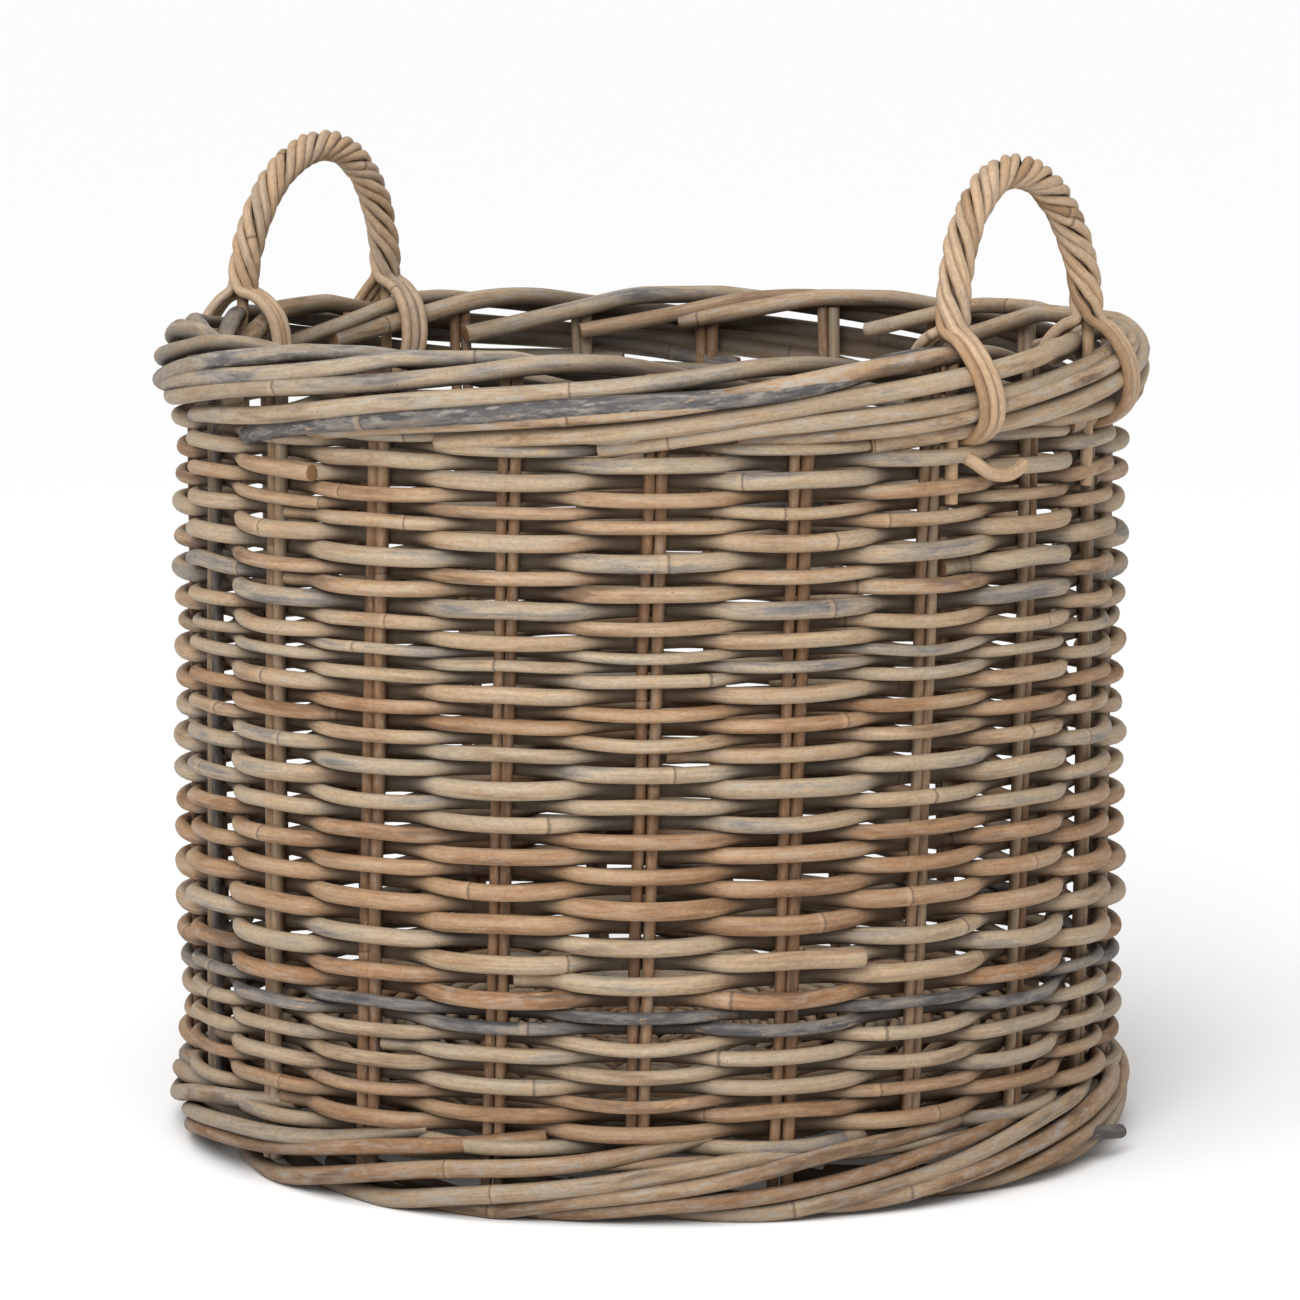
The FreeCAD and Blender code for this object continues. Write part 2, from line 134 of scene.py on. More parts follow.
class Bundle:
    """Canes gathered into one mesh. Each point keeps where it lies on its cane, for the material: "lay" is
    the distance along and the place in the section, "cane" is the cane's tone, its age and the count of
    growth rings passed, and the third attribute is 1 on end grain, followed by painted shade: 1 where the
    surface is lit, lower where the weave would shade it. A strip of the layout holds CHUNK of a cane."""

    CHUNK = 0.26
    SIDES = 14
    BEVEL = 0.5 * MM
    RING_GAP = 0.35
    RING_SWELL = 0.045
    RING_HALF_WIDTH = 3.5 * MM

    def __init__(self, painted_light, sides=SIDES):
        self.painted_light = painted_light
        self.sides = sides
        self.points, self.lay, self.cane, self.cut = [], [], [], []
        self.quads, self.quad_uv, self.tris, self.tri_uv = [], [], [], []
        self.count = 0
        self.strips = 0
        self.caps = 0

    def add(self, path, radius, tone, age=0.5, outward=None, ring_gap=RING_GAP):
        """One cane along a path. The radius is one number or one for each point, and outward gives a
        direction that the section is built from at each point."""
        path = np.asarray(path, float)
        n, m = len(path), self.sides
        radius = np.broadcast_to(np.asarray(radius, float), (n,)).copy()
        tangents = unit(np.gradient(path, axis=0))
        if outward is None:
            normals = carried_frame(tangents)
        else:
            normals = unit(outward - tangents * np.sum(outward * tangents, axis=1)[:, None])
        sides = np.cross(tangents, normals)
        along = distances(path)
        rings = along / ring_gap + rng.uniform(0, 1)
        near = np.abs(rings - np.round(rings)) * ring_gap
        radius *= 1 + self.RING_SWELL * np.exp(-((near / self.RING_HALF_WIDTH) ** 2))
        angle = np.arange(m) * TURN / m
        oval = 0.035 * np.cos(2 * angle + rng.uniform(0, TURN))
        lobes = 1 + oval + 0.02 * np.cos(3 * angle + rng.uniform(0, TURN))
        across = np.cos(angle) * lobes
        beside = np.sin(angle) * lobes
        ring = radius[:, None, None] * (
            across[None, :, None] * normals[:, None, :] + beside[None, :, None] * sides[:, None, :]
        )
        body = path[:, None, :] + ring
        shift = 3.7 * rng.uniform(0, 10)
        lay = np.empty((n, m, 3))
        lay[..., 0] = along[:, None] + shift
        lay[..., 1] = radius[:, None] * np.cos(angle)[None, :]
        lay[..., 2] = radius[:, None] * np.sin(angle)[None, :]
        cane = np.empty((n, m, 3))
        cane[..., 0] = tone
        cane[..., 1] = age
        cane[..., 2] = rings[:, None]
        base = self.count
        self.points.append(body.reshape(-1, 3))
        self.lay.append(lay.reshape(-1, 3))
        self.cane.append(cane.reshape(-1, 3))
        self.cut.append(np.zeros(n * m))
        self.count += n * m
        row = np.arange(n - 1)[:, None]
        column = np.arange(m)[None, :]
        beyond = (column + 1) % m
        low, high = base + row * m, base + (row + 1) * m
        corners = (low + column, low + beyond, high + beyond, high + column)
        self.quads.append(np.stack(corners, -1).reshape(-1, 4))
        self._strip_uv(along, n, m)
        for end in (0, 1):
            self._cap(path, tangents, ring, lay, cane, base, end)

    def _strip_uv(self, along, n, m):
        """Lays the cane's skin out in level strips, each one stretch of the cane."""
        chunks = max(1, round(along[-1] / self.CHUNK))
        edge = np.minimum((np.arange(n - 1) * chunks) // max(1, n - 1), chunks - 1)
        first = np.searchsorted(edge, np.arange(chunks), side="left")
        last = np.searchsorted(edge, np.arange(chunks), side="right")
        start, width = along[first][edge], (along[last] - along[first])[edge]
        u0 = 0.004 + 0.992 * (along[:-1] - start) / width
        u1 = 0.004 + 0.992 * (along[1:] - start) / width
        v0 = 0.06 + 0.88 * np.arange(m) / m
        v1 = 0.06 + 0.88 * (np.arange(m) + 1) / m
        uv = np.empty((n - 1, m, 4, 2))
        uv[:, :, 0, 0] = uv[:, :, 1, 0] = u0[:, None]
        uv[:, :, 2, 0] = uv[:, :, 3, 0] = u1[:, None]
        uv[:, :, 0, 1] = uv[:, :, 3, 1] = self.strips + edge[:, None] + v0[None, :]
        uv[:, :, 1, 1] = uv[:, :, 2, 1] = self.strips + edge[:, None] + v1[None, :]
        self.quad_uv.append(uv.reshape(-1, 4, 2))
        self.strips += chunks

    def _cap(self, path, tangents, ring, lay, cane, base, end):
        """A sawn end with a worn edge."""
        m = self.sides
        at = 0 if end == 0 else len(path) - 1
        way = -tangents[at] if end == 0 else tangents[at]
        tilt = rng.uniform(-0.25, 0.25) * unit(ring[at][0]) * self.BEVEL
        start = self.count
        for share, reach in ((0.9, 1.0), (0.5, 1.1)):
            self.points.append(path[at] + ring[at] * share + way * self.BEVEL * reach + tilt)
            self.lay.append(lay[at] * (1, share, share))
            self.cane.append(cane[at])
            self.cut.append(np.ones(m))
        self.points.append((path[at] + way * self.BEVEL * 1.1 + tilt)[None, :])
        self.lay.append(np.array([[lay[at][0][0], 0.0, 0.0]]))
        self.cane.append(cane[at][:1])
        self.cut.append(np.ones(1))
        self.count += 2 * m + 1
        column = np.arange(m)
        beyond = (column + 1) % m
        rim = base + at * m
        rings = (rim, start, start + m)
        spans = (1.0, 0.9, 0.5)
        for outer, inner, wide, narrow in zip(rings, rings[1:], spans, spans[1:]):
            corners = [outer + column, outer + beyond, inner + beyond, inner + column]
            shares = [(column, wide), (column + 1, wide), (column + 1, narrow), (column, narrow)]
            if end == 0:
                corners, shares = corners[::-1], shares[::-1]
            self.quads.append(np.stack(corners, -1))
            self.quad_uv.append(np.stack([self._disc_uv(corner, share) for corner, share in shares], 1))
        corners = [start + m + column, start + m + beyond, np.full(m, start + 2 * m)]
        shares = [(column, 0.5), (column + 1, 0.5), (column, 0.0)]
        if end == 0:
            corners, shares = corners[::-1], shares[::-1]
        self.tris.append(np.stack(corners, -1))
        self.tri_uv.append(np.stack([self._disc_uv(corner, share) for corner, share in shares], 1))
        self.caps += 1

    def _disc_uv(self, corner, share):
        """A place on a cap's disc, marked with the cap's number until the layout is known."""
        angle = np.asarray(corner) * TURN / self.sides
        disc = 0.42 * share * np.stack((np.cos(angle), np.sin(angle)), -1)
        return disc + (-1000.0 * (self.caps + 1), 0.0)

    def _layout(self, uv):
        """Turns strip numbers and cap numbers into places on the unit square."""
        per_row = max(8, self.strips // 2)
        cap_rows = -(-self.caps // per_row)
        rows = self.strips + cap_rows
        out = uv.copy()
        caps = uv[..., 0] < -10
        number = np.round(-uv[..., 0][caps] / 1000.0).astype(int) - 1
        u = uv[..., 0][caps] + 1000.0 * (number + 1)
        out[..., 0][caps] = (number % per_row + 0.5 + u) / per_row
        out[..., 1][caps] = (self.strips + number // per_row + 0.5 + uv[..., 1][caps]) / rows
        out[..., 1][~caps] = uv[..., 1][~caps] / rows
        return out

    def build(self, name, material, nodes, slot):
        """The piece: a mesh object that rides on the basket and stands for its CAD nodes."""
        points = np.concatenate(self.points)
        quads = np.concatenate(self.quads)
        quad_uv = self._layout(np.concatenate(self.quad_uv))
        tris = np.concatenate(self.tris)
        tri_uv = self._layout(np.concatenate(self.tri_uv))
        loops = np.concatenate((quads.ravel(), tris.ravel()))
        starts = np.concatenate((np.arange(len(quads)) * 4, len(quads) * 4 + np.arange(len(tris)) * 3))
        totals = np.concatenate((np.full(len(quads), 4), np.full(len(tris), 3)))
        mesh = bpy.data.meshes.new(name)
        mesh.vertices.add(len(points))
        mesh.vertices.foreach_set("co", points.astype(np.float32).ravel())
        mesh.loops.add(len(loops))
        mesh.loops.foreach_set("vertex_index", loops.astype(np.int32))
        mesh.polygons.add(len(starts))
        mesh.polygons.foreach_set("loop_start", starts.astype(np.int32))
        mesh.polygons.foreach_set("loop_total", totals.astype(np.int32))
        mesh.update(calc_edges=True)
        mesh.validate()
        mesh.polygons.foreach_set("use_smooth", np.ones(len(starts), bool))
        uv = mesh.uv_layers.new(name="OFBake")
        flat = np.concatenate((quad_uv.reshape(-1, 2), tri_uv.reshape(-1, 2)))
        uv.data.foreach_set("uv", flat.astype(np.float32).ravel())
        cut = np.concatenate(self.cut)
        # The second value is painted shade: 1 where lit, lower where the weave would be in shadow, never
        # under 0.75 on end grain.
        cut_and_shade = np.stack((cut, np.maximum(self.painted_light(points), 0.75 * cut), np.zeros_like(cut)), -1)
        marks = {"lay": np.concatenate(self.lay), "cane": np.concatenate(self.cane), "cut_and_shade": cut_and_shade}
        for label, rows in marks.items():
            layer = mesh.attributes.new(label, "FLOAT_VECTOR", "POINT")
            layer.data.foreach_set("vector", rows.astype(np.float32).ravel())
        mesh.materials.append(material)
        piece = bpy.data.objects.new(name, mesh)
        bpy.context.scene.collection.objects.link(piece)
        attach(piece, "root")
        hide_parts(*nodes)


def around(angle, radius, height):
    """Points at an angle about Z, a distance from it and a height."""
    height = np.broadcast_to(height, np.shape(angle))
    return np.stack((np.cos(angle) * radius, np.sin(angle) * radius, height), -1)


def radial(angle):
    """The direction away from the Z axis at an angle about it."""
    return np.stack((np.cos(angle), np.sin(angle), np.zeros_like(angle)), -1)


def step(value, low, high):
    """A smooth step from 0 at low to 1 at high."""
    share = np.clip((value - low) / (high - low), 0, 1)
    return share * share * (3 - 2 * share)


def shade_towards_floor(points):
    """Painted shade: the basket's colour is darker towards the floor."""
    return 0.70 + 0.30 * step(points[:, 2], 0.0, 0.3 * RIM_TOP)


def wall_painted_shade(points):
    """Painted shade: full colour on the wall's two faces and darker between them, where the weave is in
    shadow.
    """
    depth = np.hypot(points[:, 0], points[:, 1]) - STAKE_CIRCLE
    face = np.maximum(step(depth, -4.0 * MM, 7.0 * MM), 0.60 * step(-depth, 2.0 * MM, 10.0 * MM))
    return (0.16 + 0.84 * face) * shade_towards_floor(points)


def roll_painted_shade(centre_out, centre_z, half_out, half_z):
    """Painted shade: full colour on the outside of a rolled border and darker in its middle, where it is in
    shadow.
    """

    def painted_light(points):
        out = (np.hypot(points[:, 0], points[:, 1]) - STAKE_CIRCLE - centre_out) / half_out
        rise = (points[:, 2] - centre_z) / half_z
        return (0.14 + 0.86 * step(np.hypot(out, rise), 0.55, 1.04)) * shade_towards_floor(points)

    return painted_light


# ---------------------------------------------------------------- materials


class Shader:
    """A short way to write a node tree."""

    def __init__(self, name):
        self.material = bpy.data.materials.new(name)
        self.material.use_nodes = True
        self.tree = self.material.node_tree
        self.surface = self.tree.nodes["Principled BSDF"]

    def node(self, kind, **settings):
        node = self.tree.nodes.new(kind)
        for key, value in settings.items():
            setattr(node, key, value)
        return node

    def plug(self, socket, value):
        if isinstance(value, bpy.types.NodeSocket):
            self.tree.links.new(value, socket)
        else:
            socket.default_value = value

    def math(self, operation, a, b=0.0, c=0.0):
        node = self.node("ShaderNodeMath", operation=operation)
        for index, value in enumerate((a, b, c)):
            self.plug(node.inputs[index], value)
        return node.outputs[0]

    def spread(self, value, low, high, out_low=0.0, out_high=1.0):
        """The value's range from low to high, as a smooth step from out_low to out_high."""
        node = self.node("ShaderNodeMapRange", interpolation_type="SMOOTHSTEP")
        for index, number in enumerate((value, low, high, out_low, out_high)):
            self.plug(node.inputs[index], number)
        return node.outputs[0]

    def noise(self, vector, scale, detail=2.0, roughness=0.5):
        node = self.node("ShaderNodeTexNoise")
        self.plug(node.inputs["Vector"], vector)
        self.plug(node.inputs["Scale"], scale)
        self.plug(node.inputs["Detail"], detail)
        self.plug(node.inputs["Roughness"], roughness)
        return node.outputs["Fac"]

    def stretched(self, vector, along, across):
        """The strand's own space with its length and section scaled apart."""
        node = self.node("ShaderNodeVectorMath", operation="MULTIPLY")
        self.plug(node.inputs[0], vector)
        self.plug(node.inputs[1], (along, across, across))
        return node.outputs[0]

    def ramp(self, value, stops):
        node = self.node("ShaderNodeValToRGB")
        self.plug(node.inputs[0], value)
        elements = node.color_ramp.elements
        while len(elements) < len(stops):
            elements.new(0.5)
        for element, (place, colour) in zip(elements, stops):
            element.position = place
            element.color = (*colour, 1.0)
        return node.outputs[0]

    def parts(self, vector):
        node = self.node("ShaderNodeSeparateXYZ")
        self.plug(node.inputs[0], vector)
        return node.outputs[0], node.outputs[1], node.outputs[2]

    def level(self, value):
        """The value as a grey colour, so that it can multiply another."""
        node = self.node("ShaderNodeCombineXYZ")
        for index in range(3):
            self.plug(node.inputs[index], value)
        return node.outputs[0]

    def mix(self, share, a, b, blend="MIX"):
        node = self.node("ShaderNodeMix", data_type="RGBA", blend_type=blend)
        self.plug(node.inputs["Factor"], share)
        self.plug(node.inputs[6], a if isinstance(a, bpy.types.NodeSocket) else (*a, 1.0))
        self.plug(node.inputs[7], b if isinstance(b, bpy.types.NodeSocket) else (*b, 1.0))
        return node.outputs[2]


# A bark's colours over the range of a cane's tone: from charcoal through grey-beige and tan to brown, and
# from brown to pale honey.
GREY_BARK = [
    (0.00, (0.065, 0.060, 0.062)),
    (0.13, (0.175, 0.155, 0.140)),
    (0.28, (0.360, 0.280, 0.190)),
    (0.44, (0.390, 0.275, 0.168)),
    (0.60, (0.345, 0.215, 0.120)),
    (0.80, (0.270, 0.138, 0.062)),
    (1.00, (0.160, 0.078, 0.035)),
]

HONEY_BARK = [
    (0.00, (0.250, 0.145, 0.075)),
    (0.35, (0.370, 0.235, 0.130)),
    (0.70, (0.450, 0.305, 0.185)),
    (1.00, (0.400, 0.300, 0.210)),
]

# What age, dirt and wear lay over the bark, the band and the line of a growth ring, the painted shade
# between canes, and the pith of a sawn end.
WORN = (0.370, 0.335, 0.290)
DIRT = (0.085, 0.062, 0.045)
BARE = (0.470, 0.300, 0.165)
SPECK = (0.050, 0.036, 0.026)
RING_BAND = (0.480, 0.330, 0.200)
RING_LINE = (0.075, 0.050, 0.035)
CREVICE_SHADE = (0.034, 0.020, 0.012)
PITH = [(0.30, (0.080, 0.040, 0.018)), (0.55, (0.270, 0.140, 0.062)), (0.80, (0.38, 0.23, 0.12))]


def cane_material(name, bark, dirt, roughness=0.64, grey=0.35):
    """Cane with its bark on: soft streaks, weathered patches, growth rings, dark specks and flaked spots.
    Painted shade darkens the sides that face into the weave."""
    shader = Shader(name)
    lay = shader.node("ShaderNodeAttribute", attribute_name="lay").outputs["Vector"]
    cane = shader.node("ShaderNodeAttribute", attribute_name="cane").outputs["Vector"]
    tone, age, rings = shader.parts(cane)
    cut_and_shade = shader.node("ShaderNodeAttribute", attribute_name="cut_and_shade").outputs["Vector"]
    cut, painted_light, _ = shader.parts(cut_and_shade)

    streak = shader.noise(shader.stretched(lay, 14.0, 620.0), 1.0, 3.0, 0.6)
    blotch = shader.noise(shader.stretched(lay, 17.0, 110.0), 1.0, 3.0, 0.6)
    patch = shader.noise(shader.stretched(lay, 75.0, 300.0), 1.0, 4.0, 0.65)
    mottle = shader.noise(shader.stretched(lay, 300.0, 620.0), 1.0, 3.0, 0.65)
    flake = shader.noise(shader.stretched(lay, 60.0, 230.0), 1.0, 5.0, 0.7)

    tint = shader.math("ADD", tone, shader.math("MULTIPLY_ADD", blotch, 0.95, -0.475))
    colour = shader.ramp(tint, bark)
    streaks = shader.spread(streak, 0.30, 0.72, 0.86, 1.12)
    mottles = shader.spread(mottle, 0.32, 0.70, 0.84, 1.12)
    colour = shader.mix(1.0, colour, shader.level(shader.math("MULTIPLY", streaks, mottles)), "MULTIPLY")
    worn = shader.math("MULTIPLY", shader.spread(patch, 0.46, 0.66), shader.math("MULTIPLY", age, grey))
    colour = shader.mix(worn, colour, WORN)
    stain = shader.math("MULTIPLY", shader.spread(blotch, 0.51, 0.72), shader.math("MULTIPLY", age, dirt))
    colour = shader.mix(stain, colour, DIRT)
    bare = shader.math("MULTIPLY", shader.spread(flake, 0.60, 0.66), 0.60)
    colour = shader.mix(bare, colour, BARE)
    dots = shader.math("MULTIPLY", shader.spread(mottle, 0.64, 0.72), 0.60)
    colour = shader.mix(dots, colour, SPECK)

    # A growth ring: a thin dark line with a paler band to one side.
    phase = shader.math("ADD", rings, shader.math("MULTIPLY_ADD", mottle, 0.006, -0.003))
    turns = shader.math("SUBTRACT", phase, shader.math("ROUND", phase))
    offset = shader.math("MULTIPLY", turns, Bundle.RING_GAP)
    line = shader.spread(shader.math("ABSOLUTE", offset), 0.3 * MM, 1.1 * MM, 0.60, 0.0)
    beside = shader.math("ABSOLUTE", shader.math("ADD", offset, 2.6 * MM))
    band = shader.spread(beside, 0.6 * MM, 3.0 * MM, 0.30, 0.0)
    colour = shader.mix(band, colour, RING_BAND)
    colour = shader.mix(line, colour, RING_LINE)

    # End grain: orange-brown pith full of pores.
    pores = shader.noise(shader.stretched(lay, 0.0, 1500.0), 1.0, 2.0, 0.5)
    colour = shader.mix(cut, colour, shader.ramp(pores, PITH))
    # Painted shade: the colour darkens towards a near-black brown where the weave would be in shadow.
    colour = shader.mix(shader.math("SUBTRACT", 1.0, painted_light), colour, CREVICE_SHADE)
    shader.plug(shader.surface.inputs["Base Color"], colour)

    gloss = shader.spread(blotch, 0.3, 0.8, roughness - 0.10, roughness + 0.14)
    shader.plug(shader.surface.inputs["Roughness"], gloss)
    shader.surface.inputs["Specular IOR Level"].default_value = 0.36

    relief = shader.math("ADD", shader.math("MULTIPLY", streak, 0.30), shader.math("MULTIPLY", patch, 0.7))
    relief = shader.math("ADD", relief, shader.math("MULTIPLY", mottle, 0.25))
    relief = shader.math("SUBTRACT", relief, shader.math("MULTIPLY", bare, 0.8))
    relief = shader.math("SUBTRACT", relief, line)
    bump = shader.node("ShaderNodeBump")
    bump.inputs["Strength"].default_value = 0.5
    bump.inputs["Distance"].default_value = 0.4 * MM
    shader.plug(bump.inputs["Height"], relief)
    shader.plug(shader.surface.inputs["Normal"], bump.outputs[0])
    return shader.material


wall_cane = cane_material("wall_cane", GREY_BARK, dirt=0.60)
stake_cane = cane_material("stake_cane", GREY_BARK, dirt=0.70, roughness=0.66)
border_cane = cane_material("border_cane", GREY_BARK, dirt=0.75, grey=0.85)
base_cane = cane_material("base_cane", GREY_BARK, dirt=0.45)
handle_cane = cane_material("handle_cane", HONEY_BARK, dirt=0.30, roughness=0.56, grey=0.12)

# ---------------------------------------------------------------- the basket's own unevenness

LEAN = 0.020


def twist(height):
    """How far the stakes have leant round the basket at a height, in radians."""
    return LEAN * (height - (FOOT_TOP + RIM_BOTTOM) / 2) / (RIM_BOTTOM - FOOT_TOP) * 2


def bark_tone():
    """A cane's place on the bark's range: mostly grey-beige and tan, now and then brown or charcoal."""
    pick = rng.uniform()
    if pick < 0.04:
        return rng.uniform(0.04, 0.12)
    if pick < 0.45:
        return rng.normal(0.36, 0.06)
    if pick < 0.82:
        return rng.normal(0.53, 0.06)
    return rng.normal(0.70, 0.06)


# ---------------------------------------------------------------- wall weave

ROWS = 47
WEAVER_R = 4.4 * MM
THINNEST, THICKEST = 3.2 * MM, 5.3 * MM
# How far the wall goes on down behind the foot's rods.
HIDDEN = 10 * MM
# Points of a weaver between two stake pairs, and the half spacings in one row.
STEPS = 16
PLACES = 2 * STAKES
# Where a weaver starts after its stake pair and how far its end runs past the next one, in spacings.
LEAD = 0.13
TAIL = 0.50


class WallWeave:
    """The wall as one long randing: rows that go in front of one stake pair and behind the next. The number
    of pairs is odd, so the line spirals up with every row opposite to the one below."""

    def __init__(self):
        self.canes = self.split()
        self.radius = self.thicknesses()
        self.height = self.stack()
        places = ROWS * PLACES + 1
        self.drift = rng.normal(0, 1, places) * np.where(np.arange(places) % 2 == 0, 0.75 * MM, 0.25 * MM)
        self.slack = np.abs(rng.normal(0, 0.7 * MM, places))
        self.bow = rng.normal(0, 0.6 * MM, places)

    def split(self):
        """Each cane's start and end along the spiral, counted in stake pairs, its radius and its tone."""
        canes = []
        start, last = 0, ROWS * STAKES
        while start < last:
            end = start + int(rng.integers(22, 46))
            if end % 2 == 0 and rng.uniform() < 0.85:
                end += 1
            if last - end < 16:
                end = last
            canes.append((start, end, rng.normal(WEAVER_R, 0.55 * MM), bark_tone()))
            start = end
        return canes

    def thicknesses(self):
        """The cane's radius at every half spacing."""
        radius = np.empty(ROWS * PLACES + 1)
        for start, end, middle, _ in self.canes:
            span = np.arange(2 * start, 2 * end + 1)
            taper = 0.3 * MM * (1 - 2 * (span - span[0]) / max(1, span[-1] - span[0]))
            radius[span] = np.clip(middle + taper, THINNEST, THICKEST)
        return radius

    def stack(self):
        """Heights at every half spacing, where each row lies on the one below. The lowest rows hide in the
        foot, and the stack is stretched so that the last row meets the rim."""
        total = ROWS * PLACES + 1
        height = np.empty(total)
        height[:PLACES] = FOOT_TOP - WEAVER_R - HIDDEN + 2 * WEAVER_R * np.arange(PLACES) / PLACES
        for place in range(PLACES, total):
            height[place] = height[place - PLACES] + self.radius[place - PLACES] + self.radius[place]
        low = height[:PLACES].copy()
        top = height[-PLACES:]
        want = RIM_BOTTOM - WEAVER_R + 2 * WEAVER_R * (np.arange(PLACES) / PLACES)
        column = np.arange(total) % PLACES
        order = np.arange(total - PLACES, total) % PLACES
        scale = np.empty(PLACES)
        scale[order] = (want - low[order]) / (top - low[order])
        return low[column] + (height - low[column]) * scale[column]

    def line(self, start, end):
        """The spiral between two places: its height, radius, side of the stakes, reach from them and bow."""
        count = max(2, round((end - start) * STEPS) + 1)
        g = np.linspace(start, end, count)
        keys = np.arange(ROWS * PLACES + 1) / 2
        near = slice(max(0, int(2 * start) - 4), int(2 * end) + 6)
        height = eased(keys[near], (self.height + self.drift)[near], g)
        radius = eased(keys[near], self.radius[near], g)
        slack = eased(keys[near], self.slack[near], g)
        bow = eased(keys[near], self.bow[near], g)
        wave = np.cos(math.pi * g)
        profile = wave * math.sqrt(2.0) / np.sqrt(wave**2 + 1.0)
        above_foot = step(height, FOOT_TOP - 6 * MM, FOOT_TOP + 3 * MM)
        reach = (STAKE_R + radius + slack) * (0.62 + 0.38 * above_foot)
        return g, height, radius, profile, reach, bow

    def cane(self, bundle, number):
        """One weaver. It starts close beside a stake, and its far end lies past the next cane's start,
        mostly on the wall's inner side."""
        start, end, _, tone = self.canes[number]
        lead = LEAD if number else 0.0
        tail = TAIL if number < len(self.canes) - 1 else 0.0
        g, height, radius, profile, reach, bow = self.line(start + lead, min(end + tail, ROWS * STAKES))
        offset = profile * reach
        if lead:
            side = 1.0 if start % 2 == 0 else -1.0
            share = step(g, start + LEAD, start + 0.50)
            offset = offset * share + side * (0.05 * reach) * (1 - share)
        if tail:
            side = 1.0 if end % 2 == 0 else -1.0
            share = step(g, end + 0.05, end + 0.35)
            offset = offset * (1 - share) + side * (1.12 * reach) * share
        angle = SPACING * g + twist(height)
        ring_gap = rng.uniform(0.26, 0.50)
        path = around(angle, STAKE_CIRCLE + offset + bow, height)
        bundle.add(path, radius, tone, rng.uniform(0.2, 1.0), radial(angle), ring_gap)


def wall():
    """The weavers, in pieces of a few canes each from the bottom up."""
    weave = WallWeave()
    groups = {}
    for number, (start, end, _, _) in enumerate(weave.canes):
        middle = weave.height[start + end]
        share = (middle - FOOT_TOP) / (RIM_BOTTOM - FOOT_TOP)
        band = int(np.clip(share * len(band_nodes), 0, len(band_nodes) - 1))
        groups.setdefault((band, int(share * 3 * len(band_nodes)) % 3), []).append(number)
    for (band, third), numbers in sorted(groups.items()):
        bundle = Bundle(wall_painted_shade)
        for number in numbers:
            weave.cane(bundle, number)
        name = "wall_canes_%d_%s" % (band + 1, "abc"[third])
        bundle.build(name, wall_cane, [band_nodes[band]], "wall_cane")


wall()

# ---------------------------------------------------------------- stakes

# How far the stakes run on into the foot and the rim, and the share of them with a darker bark.
INTO_FOOT = 28 * MM
INTO_RIM = 38 * MM
DARK_STAKES = 0.36


def stake_painted_shade(points):
    """Painted shade: darker than the wall's face, and darkest towards the middle of the wall."""
    depth = np.hypot(points[:, 0], points[:, 1]) - STAKE_CIRCLE
    outside = step(depth, -2.0 * MM, 3.0 * MM)
    inside = step(-depth, -2.0 * MM, 3.0 * MM)
    return 0.30 + 0.50 * np.maximum(outside, 0.8 * inside)


def stake_pair(number):
    """Two upright canes that lean a little together."""
    bundle = Bundle(stake_painted_shade, 12)
    height = np.linspace(FOOT_TOP - INTO_FOOT, RIM_BOTTOM + INTO_RIM, 60)
    keys = np.linspace(height[0], height[-1], 7)
    for side in (-1, 1):
        sway = eased(keys, rng.normal(0, 0.5 * MM, 7), height)
        depth = eased(keys, rng.normal(0, 0.35 * MM, 7), height)
        along = side * PAIR_HALF * rng.uniform(0.78, 0.92) + sway
        angle = number * SPACING + twist(height) + along / STAKE_CIRCLE
        path = around(angle, STAKE_CIRCLE + depth, height)
        radius = STAKE_R * rng.uniform(1.00, 1.25)
        tone = rng.normal(0.80, 0.05) if rng.uniform() < DARK_STAKES else bark_tone() + 0.08
        bundle.add(path, radius, tone, rng.uniform(0.3, 1.0), radial(angle), rng.uniform(0.22, 0.4))
    bundle.build("stakes_%02d" % (number + 1), stake_cane, [stake_nodes[number]], "stake_cane")


for number in range(STAKES):
    stake_pair(number)

# ---------------------------------------------------------------- rolled rim and foot

ROD_R = 5.3 * MM
FOOT_ROD_R = ROD_R * 0.96

# Places on a rolled rod: how many stake spacings along, then how far out from the stake circle and how high
# from the rim's top or from the floor, in millimetres.
RIM_ROLL = [
    (-0.45, -1.0, -52.0),
    (0.10, 8.0, -46.0),
    (1.00, 16.0, -39.0),
    (2.00, 20.0, -29.5),
    (3.00, 19.0, -19.0),
    (3.75, 14.5, -10.8),
    (4.25, 6.0, -5.5),
    (4.70, -4.0, -7.0),
    (5.15, -10.5, -14.5),
    (5.65, -12.5, -23.0),
    (6.00, -13.0, -28.0),
]

FOOT_ROLL = [
    (-0.45, -1.5, 46.0),
    (0.10, 6.0, 39.0),
    (0.90, 11.8, 31.5),
    (1.80, 13.0, 22.5),
    (2.60, 12.2, 14.0),
    (3.20, 6.5, 6.5),
    (3.75, -3.0, 5.2),
    (4.40, -11.0, 12.0),
    (5.10, -13.5, 21.5),
]

# The foot's loose end: spacings of the stakes, how far out and how high, in millimetres.
LOOSE_END = [(0.10, 3.0, 27.0), (0.18, 11.0, 22.0), (0.25, 18.5, 17.0), (0.325, 23.0, 13.5)]
LOOSE_END_R = 4.4 * MM


